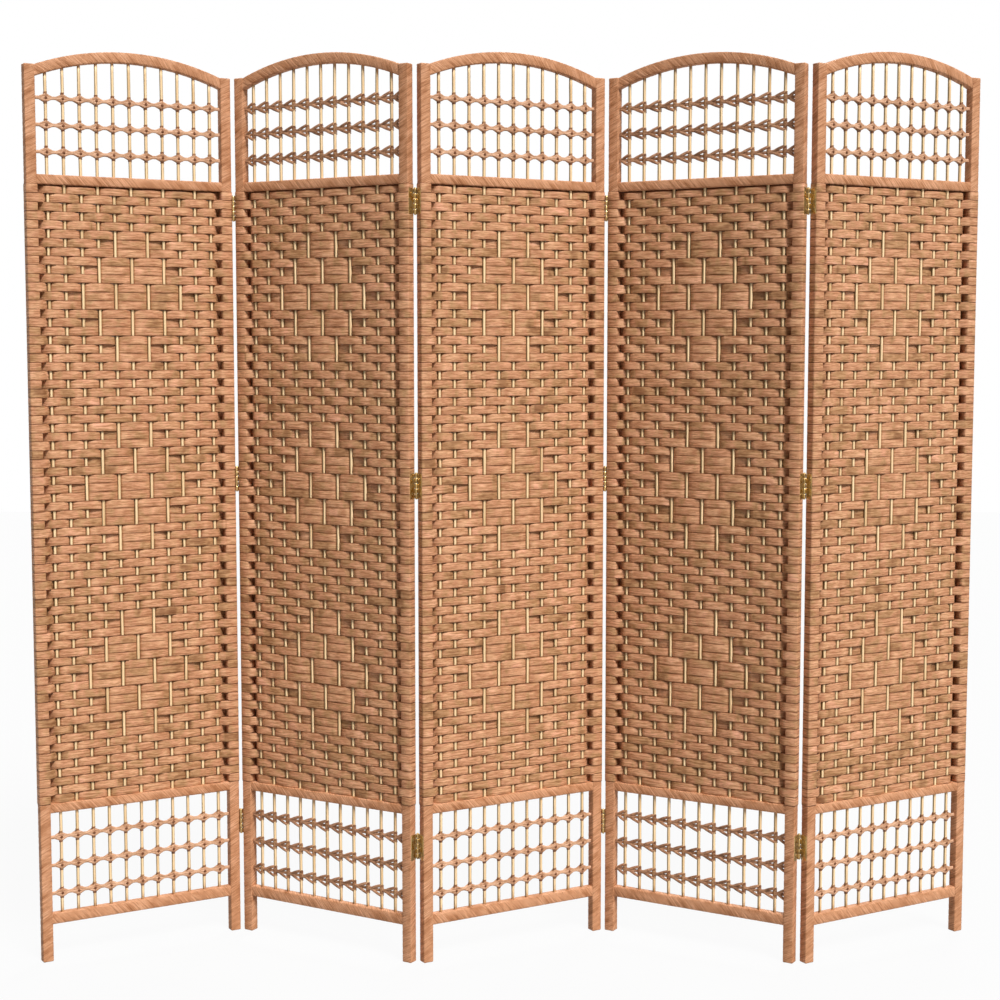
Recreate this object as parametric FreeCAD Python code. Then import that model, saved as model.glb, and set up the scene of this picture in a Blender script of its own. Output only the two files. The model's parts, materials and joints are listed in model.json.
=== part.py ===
"""Folding screen of five woven panels, joined by butt hinges that fold both ways.

Each panel is a frame of wrapped sticks: two stiles, an arched top rail, an upper,
a lower and a bottom rail. Eleven thin rods run down through it. Flat strands are
woven over them between the upper and lower rails, and knotted cords tie them in
the two open fields. All lengths are in millimetres and all angles in degrees.
The screen stands on z = 0 with its front towards -Y, zig-zagging along X, and the
middle panel's centre is over the origin.
"""
import FreeCAD, Part
import math
import os

# The screen
panel_count = 5
rest_turn_deg = 30.0

# The panel's frame
panel_width = 396.0
stile_height = 1667.0
stile_width = 20.0
stile_depth = 18.0
corner_ease = 2.5
arch_rise = 33.0
arch_bar_height = 20.0
rail_depth = 16.0
slat_rail_height = 18.0
bottom_rail_height = 21.0
leg_height = 70.5
lower_field_height = 192.0
upper_field_height = 197.0

# Rods through the panel
rod_count = 11
rod_end_margin = 20.5
rod_diameter = 6.0
rod_flat_count = 6
rod_seat_gap = 0.1

# Woven field
strand_row_count = 71
strand_thickness = 3.3
strand_crown = 1.7
strand_end_gap = 0.3

# Knotted cords in the two open fields
cord_row_count = 3
cord_height = 11.0
cord_thickness = 3.2
upper_cord_start = 41.0
upper_cord_pitch = 48.7
lower_cord_start = 36.6
lower_cord_pitch = 53.8

# Hinges
hinge_length = 48.0
hinge_gap = 4.0
leaf_thickness = 1.2
leaf_edge_margin = 1.0
barrel_diameter = 6.0
barrel_flat_count = 8
bore_flat_count = 6
knuckle_count = 3
knuckle_gap = 0.3
leaf_barrel_gap = 0.5
pin_diameter = 2.6
pin_clearance = 0.05
lower_hinge_height = 221.0
middle_hinge_share = 0.54
upper_hinge_drop = 246.0

# Heights that follow from the sizes above
bottom_rail_top = leg_height + bottom_rail_height
lower_rail_base = bottom_rail_top + lower_field_height
lower_rail_top = lower_rail_base + slat_rail_height
upper_rail_top = stile_height - upper_field_height
upper_rail_base = upper_rail_top - slat_rail_height
row_pitch = (upper_rail_base - lower_rail_top) / strand_row_count
hinge_heights = (
    lower_hinge_height,
    middle_hinge_share * stile_height,
    stile_height - upper_hinge_drop,
)

# Half widths and depths that several pieces share
half_width = panel_width / 2
half_opening = half_width - stile_width
half_depth = stile_depth / 2
rod_pitch = 2 * (half_opening - rod_end_margin) / (rod_count - 1)
rod_seat = rod_diameter / 2 + rod_seat_gap
pin_stand_off = half_depth + barrel_diameter / 2
pin_reach = half_width + hinge_gap / 2

UP = FreeCAD.Vector(0, 0, 1)


def block(x_range, y_range, z_range):
    """A rectangular bar between the given low and high values on each axis."""
    size = [high - low for low, high in (x_range, y_range, z_range)]
    corner = FreeCAD.Vector(x_range[0], y_range[0], z_range[0])
    return Part.makeBox(size[0], size[1], size[2], corner)


def ease_long_edges(bar, direction):
    """Cut the wrapped bar's four long corners back to a narrow flat."""
    long_edges = [
        edge for edge in bar.Edges
        if abs(edge.tangentAt(edge.FirstParameter).dot(direction)) > math.cos(math.radians(1))
    ]
    return bar.makeChamfer(corner_ease, long_edges)


def prism(flat_count, across_flats, base, length):
    """An upright bar with flat sides, one of them facing the front."""
    corner_radius = across_flats / 2 / math.cos(math.pi / flat_count)
    half_step = math.pi / flat_count
    corners = [
        base + FreeCAD.Vector(
            corner_radius * math.sin(half_step * (2 * index + 1)),
            corner_radius * math.cos(half_step * (2 * index + 1)),
            0,
        )
        for index in range(flat_count)
    ]
    face = Part.Face(Part.makePolygon(corners + corners[:1]))
    return face.extrude(UP * length)


# Frame

def make_stile(side):
    """One upright of the frame, which is also the leg; side is -1 left or 1 right."""
    x_range = sorted((side * half_opening, side * half_width))
    bar = block(x_range, (-half_depth, half_depth), (0, stile_height))
    return ease_long_edges(bar, UP)


def arch_radius():
    """Outer radius of the arch that springs from the stiles' inner top corners."""
    return (half_opening ** 2 + arch_rise ** 2) / (2 * arch_rise)


def make_arch_band(inner_radius, outer_radius, depth):
    """The band between two arcs of the arch, cut upright at the stiles."""
    centre_height = stile_height + arch_rise - arch_radius()
    front = FreeCAD.Vector(0, -depth / 2, centre_height)
    back = FreeCAD.Vector(0, 1, 0)
    outer = Part.makeCylinder(outer_radius, depth, front, back)
    inner = Part.makeCylinder(inner_radius, depth, front, back)
    between_stiles = block(
        (-half_opening, half_opening),
        (-depth / 2, depth / 2),
        (centre_height, centre_height + outer_radius),
    )
    return outer.cut(inner).common(between_stiles)


def make_arch_rail():
    """The arched top rail, one bent stick."""
    return make_arch_band(arch_radius() - arch_bar_height, arch_radius(), rail_depth)


def make_slat_rail(base):
    """A rail of two slats, which hold the rods between them."""
    opening = (-half_opening, half_opening)
    heights = (base, base + slat_rail_height)
    front_slat = block(opening, (-rail_depth / 2, -rod_seat), heights)
    back_slat = block(opening, (rod_seat, rail_depth / 2), heights)
    return Part.makeCompound([front_slat, back_slat])


def make_bottom_rail():
    """The lowest rail, on which the rods stand."""
    bar = block(
        (-half_opening, half_opening),
        (-rail_depth / 2, rail_depth / 2),
        (leg_height, bottom_rail_top),
    )
    return ease_long_edges(bar, FreeCAD.Vector(1, 0, 0))


# Rods and what is tied over them

def make_rods():
    """Rods from the bottom rail up to the underside of the arch."""
    above_arch = make_arch_band(arch_radius() - arch_bar_height, arch_radius(), stile_depth)
    rods = []
    for index in range(rod_count):
        x = rod_pitch * (index - (rod_count - 1) / 2)
        base = FreeCAD.Vector(x, 0, bottom_rail_top)
        rod = prism(rod_flat_count, rod_diameter, base, stile_height - bottom_rail_top)
        rods.append(rod.cut(above_arch))
    return Part.makeCompound(rods)


def make_woven_skin(side):
    """The strands on one side of the rods: a crown for each row, a groove between."""
    groove = side * (rod_seat + strand_thickness - strand_crown)
    crown = side * (rod_seat + strand_thickness)
    x = -half_opening + strand_end_gap
    points = [FreeCAD.Vector(x, side * rod_seat, lower_rail_top)]
    for row in range(strand_row_count):
        row_base = lower_rail_top + row * row_pitch
        points.append(FreeCAD.Vector(x, groove, row_base))
        points.append(FreeCAD.Vector(x, crown, row_base + row_pitch / 2))
    points.append(FreeCAD.Vector(x, groove, upper_rail_base))
    points.append(FreeCAD.Vector(x, side * rod_seat, upper_rail_base))
    face = Part.Face(Part.makePolygon(points + points[:1]))
    return face.extrude(FreeCAD.Vector(2 * -x, 0, 0))


def make_woven_strands():
    """The woven field, in front of the rods and behind them."""
    return Part.makeCompound([make_woven_skin(-1), make_woven_skin(1)])


def make_cord_row(height):
    """One knotted cord: a strand in front of the rods and one behind them."""
    opening = (-half_opening, half_opening)
    heights = (height - cord_height / 2, height + cord_height / 2)
    front_strand = block(opening, (-rod_seat - cord_thickness, -rod_seat), heights)
    back_strand = block(opening, (rod_seat, rod_seat + cord_thickness), heights)
    return [front_strand, back_strand]


def make_knotted_cords():
    """Cord rows of the upper and the lower open field."""
    strands = []
    for row in range(cord_row_count):
        upper_height = upper_rail_top + upper_cord_start + row * upper_cord_pitch
        lower_height = bottom_rail_top + lower_cord_start + row * lower_cord_pitch
        strands += make_cord_row(upper_height) + make_cord_row(lower_height)
    return Part.makeCompound(strands)


# Hinges, drawn at the edge of a panel

def make_leaf(panel_side, pin_side, hinge_height, knuckles):
    """A leaf on the stile's edge; pin_side is -1 for a pin in front, 1 for behind.

    Each barrel and its bore have flat sides, which the round pin inside just clears.
    """
    plate_x = sorted((panel_side * half_width, panel_side * (half_width + leaf_thickness)))
    plate_start = pin_stand_off - barrel_diameter / 2 - leaf_barrel_gap
    plate_end = -half_depth + leaf_edge_margin
    plate_y = sorted((pin_side * plate_end, pin_side * plate_start))
    base = hinge_height - hinge_length / 2
    leaf = block(plate_x, plate_y, (base, base + hinge_length))
    knuckle_step = hinge_length / knuckle_count
    pin_place = FreeCAD.Vector(panel_side * pin_reach, pin_side * pin_stand_off, 0)
    for index in knuckles:
        low = base + index * knuckle_step + knuckle_gap / 2
        high = base + (index + 1) * knuckle_step - knuckle_gap / 2
        barrel_base = pin_place + UP * low
        tongue_y = sorted((pin_side * plate_start, pin_side * pin_stand_off))
        tongue = block(plate_x, tongue_y, (low, high))
        barrel = prism(barrel_flat_count, barrel_diameter, barrel_base, high - low)
        bore = prism(bore_flat_count, pin_diameter + 2 * pin_clearance, barrel_base, high - low)
        leaf = leaf.fuse(tongue).fuse(barrel).cut(bore)
    return leaf.removeSplitter()


def make_leaves(panel_side, pin_side, knuckles):
    """The three leaves down one edge of a panel."""
    return Part.makeCompound(
        [make_leaf(panel_side, pin_side, height, knuckles) for height in hinge_heights]
    )


def make_pins(panel_side, pin_side):
    """The three pins down one edge of a panel."""
    pins = []
    for height in hinge_heights:
        base = FreeCAD.Vector(
            panel_side * pin_reach, pin_side * pin_stand_off, height - hinge_length / 2
        )
        pins.append(Part.makeCylinder(pin_diameter / 2, hinge_length, base))
    return Part.makeCompound(pins)


# Placing the panels

def panel_turn(number):
    """Odd panels have the right edge at the back, even ones the left edge."""
    return rest_turn_deg if number % 2 else -rest_turn_deg


def pin_side_of_fold(left_number):
    """Folds after an odd panel have their pins in front, the others behind."""
    return -1 if left_number % 2 else 1


def turned(vector, turn):
    """A level vector turned about the upright."""
    return FreeCAD.Rotation(UP, turn).multVec(vector)


def panel_centres():
    """Centre of each panel on the floor, worked out pin by pin from the middle."""
    middle = (panel_count + 1) // 2
    centres = {middle: FreeCAD.Vector(0, 0, 0)}
    for side in (-1, 1):
        number = middle
        while 1 <= number + side <= panel_count:
            pin_side = pin_side_of_fold(min(number, number + side))
            own_edge = FreeCAD.Vector(side * pin_reach, pin_side * pin_stand_off, 0)
            next_edge = FreeCAD.Vector(-side * pin_reach, pin_side * pin_stand_off, 0)
            pin = centres[number] + turned(own_edge, panel_turn(number))
            number += side
            centres[number] = pin - turned(next_edge, panel_turn(number))
    return centres


def save(shape, name, number, centres):
    """Put a piece that was drawn on a panel's own axes in its place and save it."""
    placed = shape.copy()
    placed.rotate(FreeCAD.Vector(0, 0, 0), UP, panel_turn(number))
    placed.translate(centres[number])
    placed.exportStep(os.path.join("parts", name + ".step"))


def save_panels(centres):
    """The frame, rods, strands and cords of every panel."""
    pieces = {
        "left_stile": make_stile(-1),
        "right_stile": make_stile(1),
        "arch_rail": make_arch_rail(),
        "upper_rail": make_slat_rail(upper_rail_base),
        "lower_rail": make_slat_rail(lower_rail_base),
        "bottom_rail": make_bottom_rail(),
        "rods": make_rods(),
        "woven_strands": make_woven_strands(),
        "knotted_cords": make_knotted_cords(),
    }
    for number in range(1, panel_count + 1):
        for name, shape in pieces.items():
            save(shape, "panel_%d_%s" % (number, name), number, centres)


def save_hinges(centres):
    """The hinges of every fold; the panel nearer the middle carries the pins."""
    middle = (panel_count + 1) // 2
    end_knuckles = range(0, knuckle_count, 2)
    inner_knuckles = range(1, knuckle_count, 2)
    for left in range(1, panel_count):
        pin_side = pin_side_of_fold(left)
        edges = {left: 1, left + 1: -1}
        carrier = left + 1 if left + 1 <= middle else left
        for number, edge in edges.items():
            knuckles = end_knuckles if number == carrier else inner_knuckles
            leaves = make_leaves(edge, pin_side, knuckles)
            side_name = "left" if number == left else "right"
            save(leaves, "fold_%d_%d_%s_leaves" % (left, left + 1, side_name), number, centres)
        pins = make_pins(edges[carrier], pin_side)
        save(pins, "fold_%d_%d_pins" % (left, left + 1), carrier, centres)


os.makedirs("parts", exist_ok=True)
places = panel_centres()
save_panels(places)
save_hinges(places)
for panel_number, place in sorted(places.items()):
    print("panel", panel_number, "centre", round(place.x, 3), round(place.y, 3))
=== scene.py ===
# %% [markdown]
# # A folding screen of wound sticks and woven fibre
#
# The real object is a room divider of five hinged panels that stand in a zig-zag. Each panel
# is a frame of sticks wound with fibre ribbon. Inside it a ribbon is woven to and fro over
# eleven thin rods, and above and below the weave the rods are tied with knotted cords. It
# could be modelled by eye, but a measured CAD model is at hand. So this lesson dresses that
# model, and every piece reads its place and size from the frame.

import json
import math

import bmesh
import bpy
import numpy as np
from mathutils import Matrix, Vector

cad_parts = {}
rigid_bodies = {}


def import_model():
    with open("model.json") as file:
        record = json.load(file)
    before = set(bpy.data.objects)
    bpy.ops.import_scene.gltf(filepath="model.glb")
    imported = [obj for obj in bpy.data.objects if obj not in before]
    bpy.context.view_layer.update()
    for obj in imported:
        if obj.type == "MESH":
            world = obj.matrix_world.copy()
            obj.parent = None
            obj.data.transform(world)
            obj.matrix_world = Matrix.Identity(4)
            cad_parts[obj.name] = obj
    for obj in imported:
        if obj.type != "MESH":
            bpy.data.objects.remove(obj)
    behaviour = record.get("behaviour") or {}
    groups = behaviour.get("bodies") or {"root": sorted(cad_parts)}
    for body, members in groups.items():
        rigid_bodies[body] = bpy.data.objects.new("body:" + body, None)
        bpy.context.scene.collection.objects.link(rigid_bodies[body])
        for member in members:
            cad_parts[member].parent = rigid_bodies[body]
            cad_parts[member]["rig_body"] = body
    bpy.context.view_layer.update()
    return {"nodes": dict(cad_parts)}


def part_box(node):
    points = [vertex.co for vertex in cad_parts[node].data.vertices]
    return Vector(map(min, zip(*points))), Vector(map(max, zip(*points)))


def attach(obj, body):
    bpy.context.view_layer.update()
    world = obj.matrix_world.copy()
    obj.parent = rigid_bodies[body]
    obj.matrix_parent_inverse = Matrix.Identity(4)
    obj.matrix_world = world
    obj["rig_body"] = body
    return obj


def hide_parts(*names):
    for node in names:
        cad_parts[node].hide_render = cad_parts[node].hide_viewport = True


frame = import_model()

# %% [markdown]
# ## Axes for each panel
#
# The five panels are alike, but each is turned about the upright axis. A piece could be built
# in the room's axes, with a sine and a cosine in every line. It is easier in the panel's own: x
# from the left stile to the right one, y from front to back, z up. The object's matrix then
# turns the mesh into place. Lengths are in millimetres until a mesh is made.

# %% Panel axes
MM = 0.001
PANELS = (1, 2, 3, 4, 5)


def middle(node):
    low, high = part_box(node)
    return (low + high) / 2


def panel_axes(n):
    left, right = middle(f"panel_{n}_left_stile"), middle(f"panel_{n}_right_stile")
    x = (right - left).normalized()
    z = Vector((0, 0, 1))
    axes = Matrix((x, z.cross(x), z)).transposed().to_4x4()
    axes.translation = (left + right) / 2
    axes.translation.z = 0
    return axes


def turn_of(n):
    return math.atan2(AXES[n][1][0], AXES[n][0][0])


def points_of(node, n):
    """The node's vertices in the panel's own axes, in millimetres."""
    mesh = frame["nodes"][node].data
    flat = np.empty(len(mesh.vertices) * 3)
    mesh.vertices.foreach_get("co", flat)
    inverse = np.array(AXES[n].inverted())
    return (flat.reshape(-1, 3) @ inverse[:3, :3].T + inverse[:3, 3]) / MM


def extent(node, n):
    points = points_of(node, n)
    return points.min(0), points.max(0)


def bands(values, gap):
    """Splits numbers where they leave a gap, and gives the two ends of each group."""
    values = np.sort(values)
    cuts = np.flatnonzero(np.diff(values) > gap) + 1
    return [(group[0], group[-1]) for group in np.split(values, cuts)]


def draws(n, seed):
    """Random numbers that are the same in every run."""
    return np.random.default_rng(100 * n + seed)


AXES = {n: panel_axes(n) for n in PANELS}
for n in PANELS:
    print(f"panel {n} is turned {math.degrees(turn_of(n)):.1f} degrees")

# %% [markdown]
# ## Measures of one panel
#
# All panels are the same, so one set of measures serves them. It could be typed in, but would
# be wrong as soon as the CAD model changed. So it is read from the middle panel's nodes, and
# only the rows were counted.

# %% Measures
ROWS = 71
BETWEEN_RODS, BETWEEN_CORDS = 5, 20

stile_low, stile_high = extent("panel_3_right_stile", 3)
STILE_INNER, STILE_OUTER = stile_low[0], stile_high[0]
STILE_FACE = stile_high[1]
rod_points = points_of("panel_3_rods", 3)
ROD_X = [(a + b) / 2 for a, b in bands(rod_points[:, 0], BETWEEN_RODS)]
ROD_RADIUS = np.ptp(rod_points[:, 1]) / 2
ROD_FOOT = rod_points[:, 2].min()
ROD_GAP = ROD_X[1] - ROD_X[0]
weave_low, weave_high = extent("panel_3_woven_strands", 3)
WEAVE_BOTTOM, WEAVE_TOP = weave_low[2], weave_high[2]
ROW = (WEAVE_TOP - WEAVE_BOTTOM) / ROWS
cord_heights = points_of("panel_3_knotted_cords", 3)[:, 2]
CORD_Z = [(a + b) / 2 for a, b in bands(cord_heights, BETWEEN_CORDS)]
print(f"{len(ROD_X)} rods every {ROD_GAP:.1f}, rows of {ROW:.2f}, {len(CORD_Z)} cords")

# %% [markdown]
# ## Camera
#
# The photograph looks at the screen from straight ahead, a little above its middle. A camera
# can be placed by eye, but only the right distance makes the near edges of the zig-zag as tall
# as they look. So its place, tilt and lens were fitted to the panels' edges.

# %% Camera
SENSOR_WIDTH, FOCAL_LENGTH = 36, 65.17
CAMERA_PLACE = (-0.01114, -3.4242, 1.1645)
CAMERA_TILT, CAMERA_PAN = math.radians(85.024), math.radians(0.229)

scene = bpy.context.scene
camera = bpy.data.objects.new("camera", bpy.data.cameras.new("camera"))
scene.collection.objects.link(camera)
camera.data.sensor_width = SENSOR_WIDTH
camera.data.lens = FOCAL_LENGTH
camera.location = CAMERA_PLACE
camera.rotation_euler = (CAMERA_TILT, 0, CAMERA_PAN)
scene.camera = camera
print("camera at", CAMERA_PLACE)

# %% [markdown]
# ## Shader maths as plain expressions
#
# The finishes depend on sums, such as fine streaks times a dark groove. They could be drawn
# as a web of nodes, but a web is hard to read. Here a small class wraps one socket and
# overloads the operators, so `1 - mask * 0.4` adds the Math nodes it needs. Colours would
# turn grey in a Math node, so they go through Mix and Vector Math nodes. Every node comes
# from one method, `add`.

# %% A socket that can be calculated with
class Wire:
    """One output of a node. A sum with it adds a Math node to the same tree."""

    def __init__(self, nodes, socket):
        self.nodes, self.socket = nodes, socket

    def sum(self, operation, first, second):
        return self.nodes.add("Math", {"operation": operation}, {0: first, 1: second})

    def __add__(self, other): return self.sum("ADD", self, other)
    def __radd__(self, other): return self.sum("ADD", other, self)
    def __sub__(self, other): return self.sum("SUBTRACT", self, other)
    def __rsub__(self, other): return self.sum("SUBTRACT", other, self)
    def __mul__(self, other): return self.sum("MULTIPLY", self, other)
    def __rmul__(self, other): return self.sum("MULTIPLY", other, self)
    def __pow__(self, other): return self.sum("POWER", self, other)
    def __rpow__(self, other): return self.sum("POWER", other, self)
    def or_more(self, other): return self.sum("MAXIMUM", self, other)

    def twin(self, name):
        return Wire(self.nodes, self.socket.node.outputs[name])


class Nodes:
    def __init__(self, tree):
        self.tree = tree

    def add(self, kind, settings=None, values=None, output=0):
        """Adds a node of a type, with its settings and its sockets' values or links."""
        node = self.tree.nodes.new("ShaderNode" + kind)
        for key, value in (settings or {}).items():
            if key == "stops":
                stops = node.color_ramp.elements
                while len(stops) < len(value):
                    stops.new(0.5)
                for stop, (place, colour) in zip(stops, value):
                    stop.position, stop.color = place, colour
            else:
                setattr(node, key, value)
        for key, value in (values or {}).items():
            self.put(value, node.inputs[key])
        return Wire(self, node.outputs[output])

    def put(self, value, socket):
        if isinstance(value, Wire):
            self.tree.links.new(value.socket, socket)
        else:
            socket.default_value = value


print("wires can be added, multiplied and raised to a power")

# %% A material that is being made
COLOUR = 2  # a Mix node has one output for each type of data


class Paint(Nodes):
    def __init__(self, name, roughness=0.6, metallic=0.0):
        self.material = bpy.data.materials.new(name)
        self.material.use_nodes = True
        super().__init__(self.material.node_tree)
        self.surface = self.tree.nodes["Principled BSDF"]
        self.shader = Wire(self, self.surface.outputs[0])
        self.feed(Roughness=roughness, Metallic=metallic)

    def feed(self, **inputs):
        for key, value in inputs.items():
            self.put(value, self.surface.inputs[key.replace("_", " ")])
        return self.material

    def mix(self, first, second, share):
        return self.add("Mix", {"data_type": "RGBA"}, {0: share, 6: first, 7: second}, COLOUR)

    def times(self, vector, by):
        return self.add("VectorMath", {"operation": "MULTIPLY"}, {0: vector, 1: by})

    def streaks(self, place, stretch, detail=2.0, roughness=0.5):
        """Noise that is stretched: the larger a number, the finer the streaks that way."""
        return self.add("TexNoise", {}, {"Vector": self.times(place, stretch), "Scale": 1.0,
                                         "Detail": detail, "Roughness": roughness})

    def between(self, value, low, high, to_low=0.0, to_high=1.0):
        """A soft step from to_low up or down to to_high."""
        return self.add("MapRange", {"interpolation_type": "SMOOTHSTEP"},
                        {"Value": value, "From Min": low, "From Max": high,
                         "To Min": to_low, "To Max": to_high})

    def bump(self, height, strength, distance):
        return self.add("Bump", {}, {"Height": height, "Strength": strength, "Distance": distance})


def srgb(red, green, blue):
    """Turns a paint program's colour into the linear one that Blender uses."""
    return tuple(c / 3294.6 if c <= 10.31 else ((c / 255 + 0.055) / 1.055) ** 2.4
                 for c in (red, green, blue)) + (1.0,)


print("middle grey is", round(srgb(128, 128, 128)[0], 3), "in linear light")

# %% [markdown]
# ## Sky, floor and lamps
#
# In the photograph the panels that face right are bright, the others are browner, and each
# bulge of the weave has a shadow under it. So a wide key lamp stands in front, to the right
# and high up. A weaker one shapes the back, and an even sky fills the rest. Area lamps could
# do this, but they fade with distance, and a sun lights all five panels alike. The white
# background is not a light: sky and floor are white only for rays from the camera and for
# mirrored or refracted ones. The floor keeps a little of the screen's shadow.

# %% Sky and floor
WHITE = (1, 1, 1, 1)
SKY_COLOUR, SKY_STRENGTH = (1, 0.99, 0.98, 1), 0.12
FLOOR_GREY, FLOOR_GLOW, FLOOR_HALF = (0.42, 0.42, 0.42, 1), 0.94, 9


def white_when_seen(nodes, lit, white_kind, share, output):
    """Shows white to the camera, in mirrors and through glass, and is lit otherwise."""
    ray = nodes.add("LightPath", output="Is Camera Ray")
    seen = ray.or_more(ray.twin("Is Glossy Ray")).or_more(ray.twin("Is Transmission Ray"))
    white = nodes.add(white_kind, values={"Color": WHITE, "Strength": 1.0})
    nodes.put(nodes.add("MixShader", values={0: seen * share, 1: lit, 2: white}),
              nodes.tree.nodes[output].inputs["Surface"])


world = bpy.data.worlds.new("studio")
scene.world = world
world.use_nodes = True
sky = Nodes(world.node_tree)
sky.tree.nodes.remove(sky.tree.nodes["Background"])
fill = sky.add("Background", values={"Color": SKY_COLOUR, "Strength": SKY_STRENGTH})
white_when_seen(sky, fill, "Background", 1.0, "World Output")

ground = Paint("floor", roughness=0.9)
ground.feed(Base_Color=FLOOR_GREY)
white_when_seen(ground, ground.shader, "Emission", FLOOR_GLOW, "Material Output")
floor_mesh = bpy.data.meshes.new("floor")
floor_mesh.from_pydata([(x * FLOOR_HALF, y * FLOOR_HALF, 0)
                        for x, y in ((-1, -1), (1, -1), (1, 1), (-1, 1))], [], [(0, 1, 2, 3)])
floor_mesh.materials.append(ground.material)
floor = bpy.data.objects.new("floor", floor_mesh)
scene.collection.objects.link(floor)
print("a floor", 2 * FLOOR_HALF, "m wide")


# %% Lamps
def soft_sun(name, turn, height, spread, power):
    """turn: degrees to the right of the front. height: degrees above the horizon."""
    lamp = bpy.data.objects.new(name, bpy.data.lights.new(name, "SUN"))
    scene.collection.objects.link(lamp)
    lamp.data.angle, lamp.data.energy = math.radians(spread), power
    lamp.rotation_euler = (math.radians(90 - height), 0, math.radians(turn))
    print(name, "of strength", power)


soft_sun("key_lamp", turn=32, height=48, spread=22, power=3.9)
soft_sun("back_lamp", turn=160, height=42, spread=14, power=1.5)
scene.view_settings.view_transform = "Standard"

# %% [markdown]
# ## Fibre
#
# The ribbon is a band of twisted plant fibre. It has fine streaks along its length, its tone
# changes from piece to piece, and painted shade darkens the groove beside each band. A
# photograph of fibre would repeat, and smear at the corners, so the finish is worked out from
# what the meshes carry. Their UV map `ribbon` gives the length along the band and the place
# across it, so the streaks follow the band round every corner. The number `tone` says how
# light a stretch of fibre is, and a second number how much painted shade it gets, in a hollow
# or beside a rod.

# %% Fibre finishes
FINE, BROAD, BLOTCH = (0.8, 22.0, 1.0), (0.3, 6.0, 1.0), (0.35, 0.9, 1.0)
TONE_SHARE = 0.72  # the rest of the shade comes from the blotches
PAINTED_HOLLOW_SHADE = 0.84  # how far painted shade darkens a hollow
GREEN_FALL, BLUE_FALL = 1.3, 1.7  # where streaks and painted shade darken the fibre, green and blue fade faster than red, so the painted shade is warm


def shades(*colours):
    """Evenly spaced stops of a colour ramp, from the darkest fibre to the lightest."""
    return [(k / (len(colours) - 1), srgb(*colour)) for k, colour in enumerate(colours)]


def fibre(name, stops, streak, groove_shade, groove_width=0.12):
    """Twisted fibre: tone picks the colour, streaks run along the band, painted shade darkens
    grooves and hollows.
    """
    paint = Paint(name, roughness=0.62)
    place = paint.add("UVMap", {"uv_map": "ribbon"})
    tone, hollow = (paint.add("Attribute", {"attribute_name": key}, output="Fac")
                    for key in ("tone", "hollow"))
    across = paint.add("SeparateXYZ", values={0: place}, output="Y")
    fine = paint.streaks(place, FINE, 3.0, 0.65)
    broad = paint.streaks(place, BROAD)
    blotch = paint.between(paint.streaks(place, BLOTCH), 0.36, 0.64)
    shade = tone * TONE_SHARE + blotch * (1 - TONE_SHARE)
    colour = paint.add("ValToRGB", {"stops": stops}, {0: shade})
    lines = paint.between(fine * 0.55 + broad * 0.45, 0.4, 0.6, 1 - streak, 1 + streak * 0.35)
    # painted shade in the groove beside each band
    painted_groove_shade = paint.between(across.sum("PINGPONG", across, 0.5), 0.0, groove_width, 1 - groove_shade, 1)
    # painted shade in hollows and beside rods darkens the streaks further
    streaks_and_painted_shade = lines * painted_groove_shade * (1 - hollow * PAINTED_HOLLOW_SHADE)
    warm_streaks_and_painted_shade = paint.add("CombineXYZ", values={0: streaks_and_painted_shade, 1: streaks_and_painted_shade ** GREEN_FALL,
                                             2: streaks_and_painted_shade ** BLUE_FALL})
    return paint.feed(Base_Color=paint.times(colour, warm_streaks_and_painted_shade), Roughness=0.74 - fine * 0.2,
                      Normal=paint.bump(fine + broad, 0.6, 0.0007), Specular_IOR_Level=0.35)


WOUND = fibre("wrapped_stick", shades((182, 123, 82), (210, 152, 112), (222, 166, 128)),
              streak=0.34, groove_shade=0.22)
WOVEN = fibre("woven_strand", shades((146, 97, 61), (193, 146, 102), (208, 149, 111),
                                     (218, 165, 123), (236, 171, 137)),
              streak=0.4, groove_shade=0.84, groove_width=0.11)
KNOT = fibre("knotted_cord", shades((128, 90, 64), (198, 148, 113), (234, 188, 154)),
             streak=0.38, groove_shade=0.36)
# the darker stops paint the shadow under each lens and its dot
TIE = fibre("cord_wrap", shades((70, 31, 18), (146, 94, 59), (202, 158, 114)),
            streak=0.3, groove_shade=0.4)
print("fibre finishes:", WOUND.name, WOVEN.name, KNOT.name, TIE.name)

# %% [markdown]
# ## Peeled wood
#
# The rods are thin peeled sticks, creamy, with a long fine grain, and darker down their
# flanks, because the fibre beside them keeps the light away. Shadow alone leaves the flanks
# too light on a stick this thin. So their UV map gives the angle round the stick, measured
# from the screen's left, and painted shade deepens the colour towards both flanks, more on
# the left one.

# %% Peeled rods' finish
WOOD_GRAIN, WOOD_BLOTCH = (420.0, 420.0, 9.0), (30.0, 30.0, 6.0)
WOOD, PALE_WOOD, DULL_WOOD, SHADED_WOOD = (srgb(224, 184, 132), srgb(252, 221, 174),
                                           srgb(202, 160, 108), srgb(138, 118, 76))
# painted shade down both flanks: where it starts and ends, and how dark it gets
LEFT_FLANK, LEFT_DEPTH = (1.8, 1.5), 0.85  # in radians from the left
RIGHT_FLANK, RIGHT_DEPTH = (2.75, 3.05), 0.45


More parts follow.
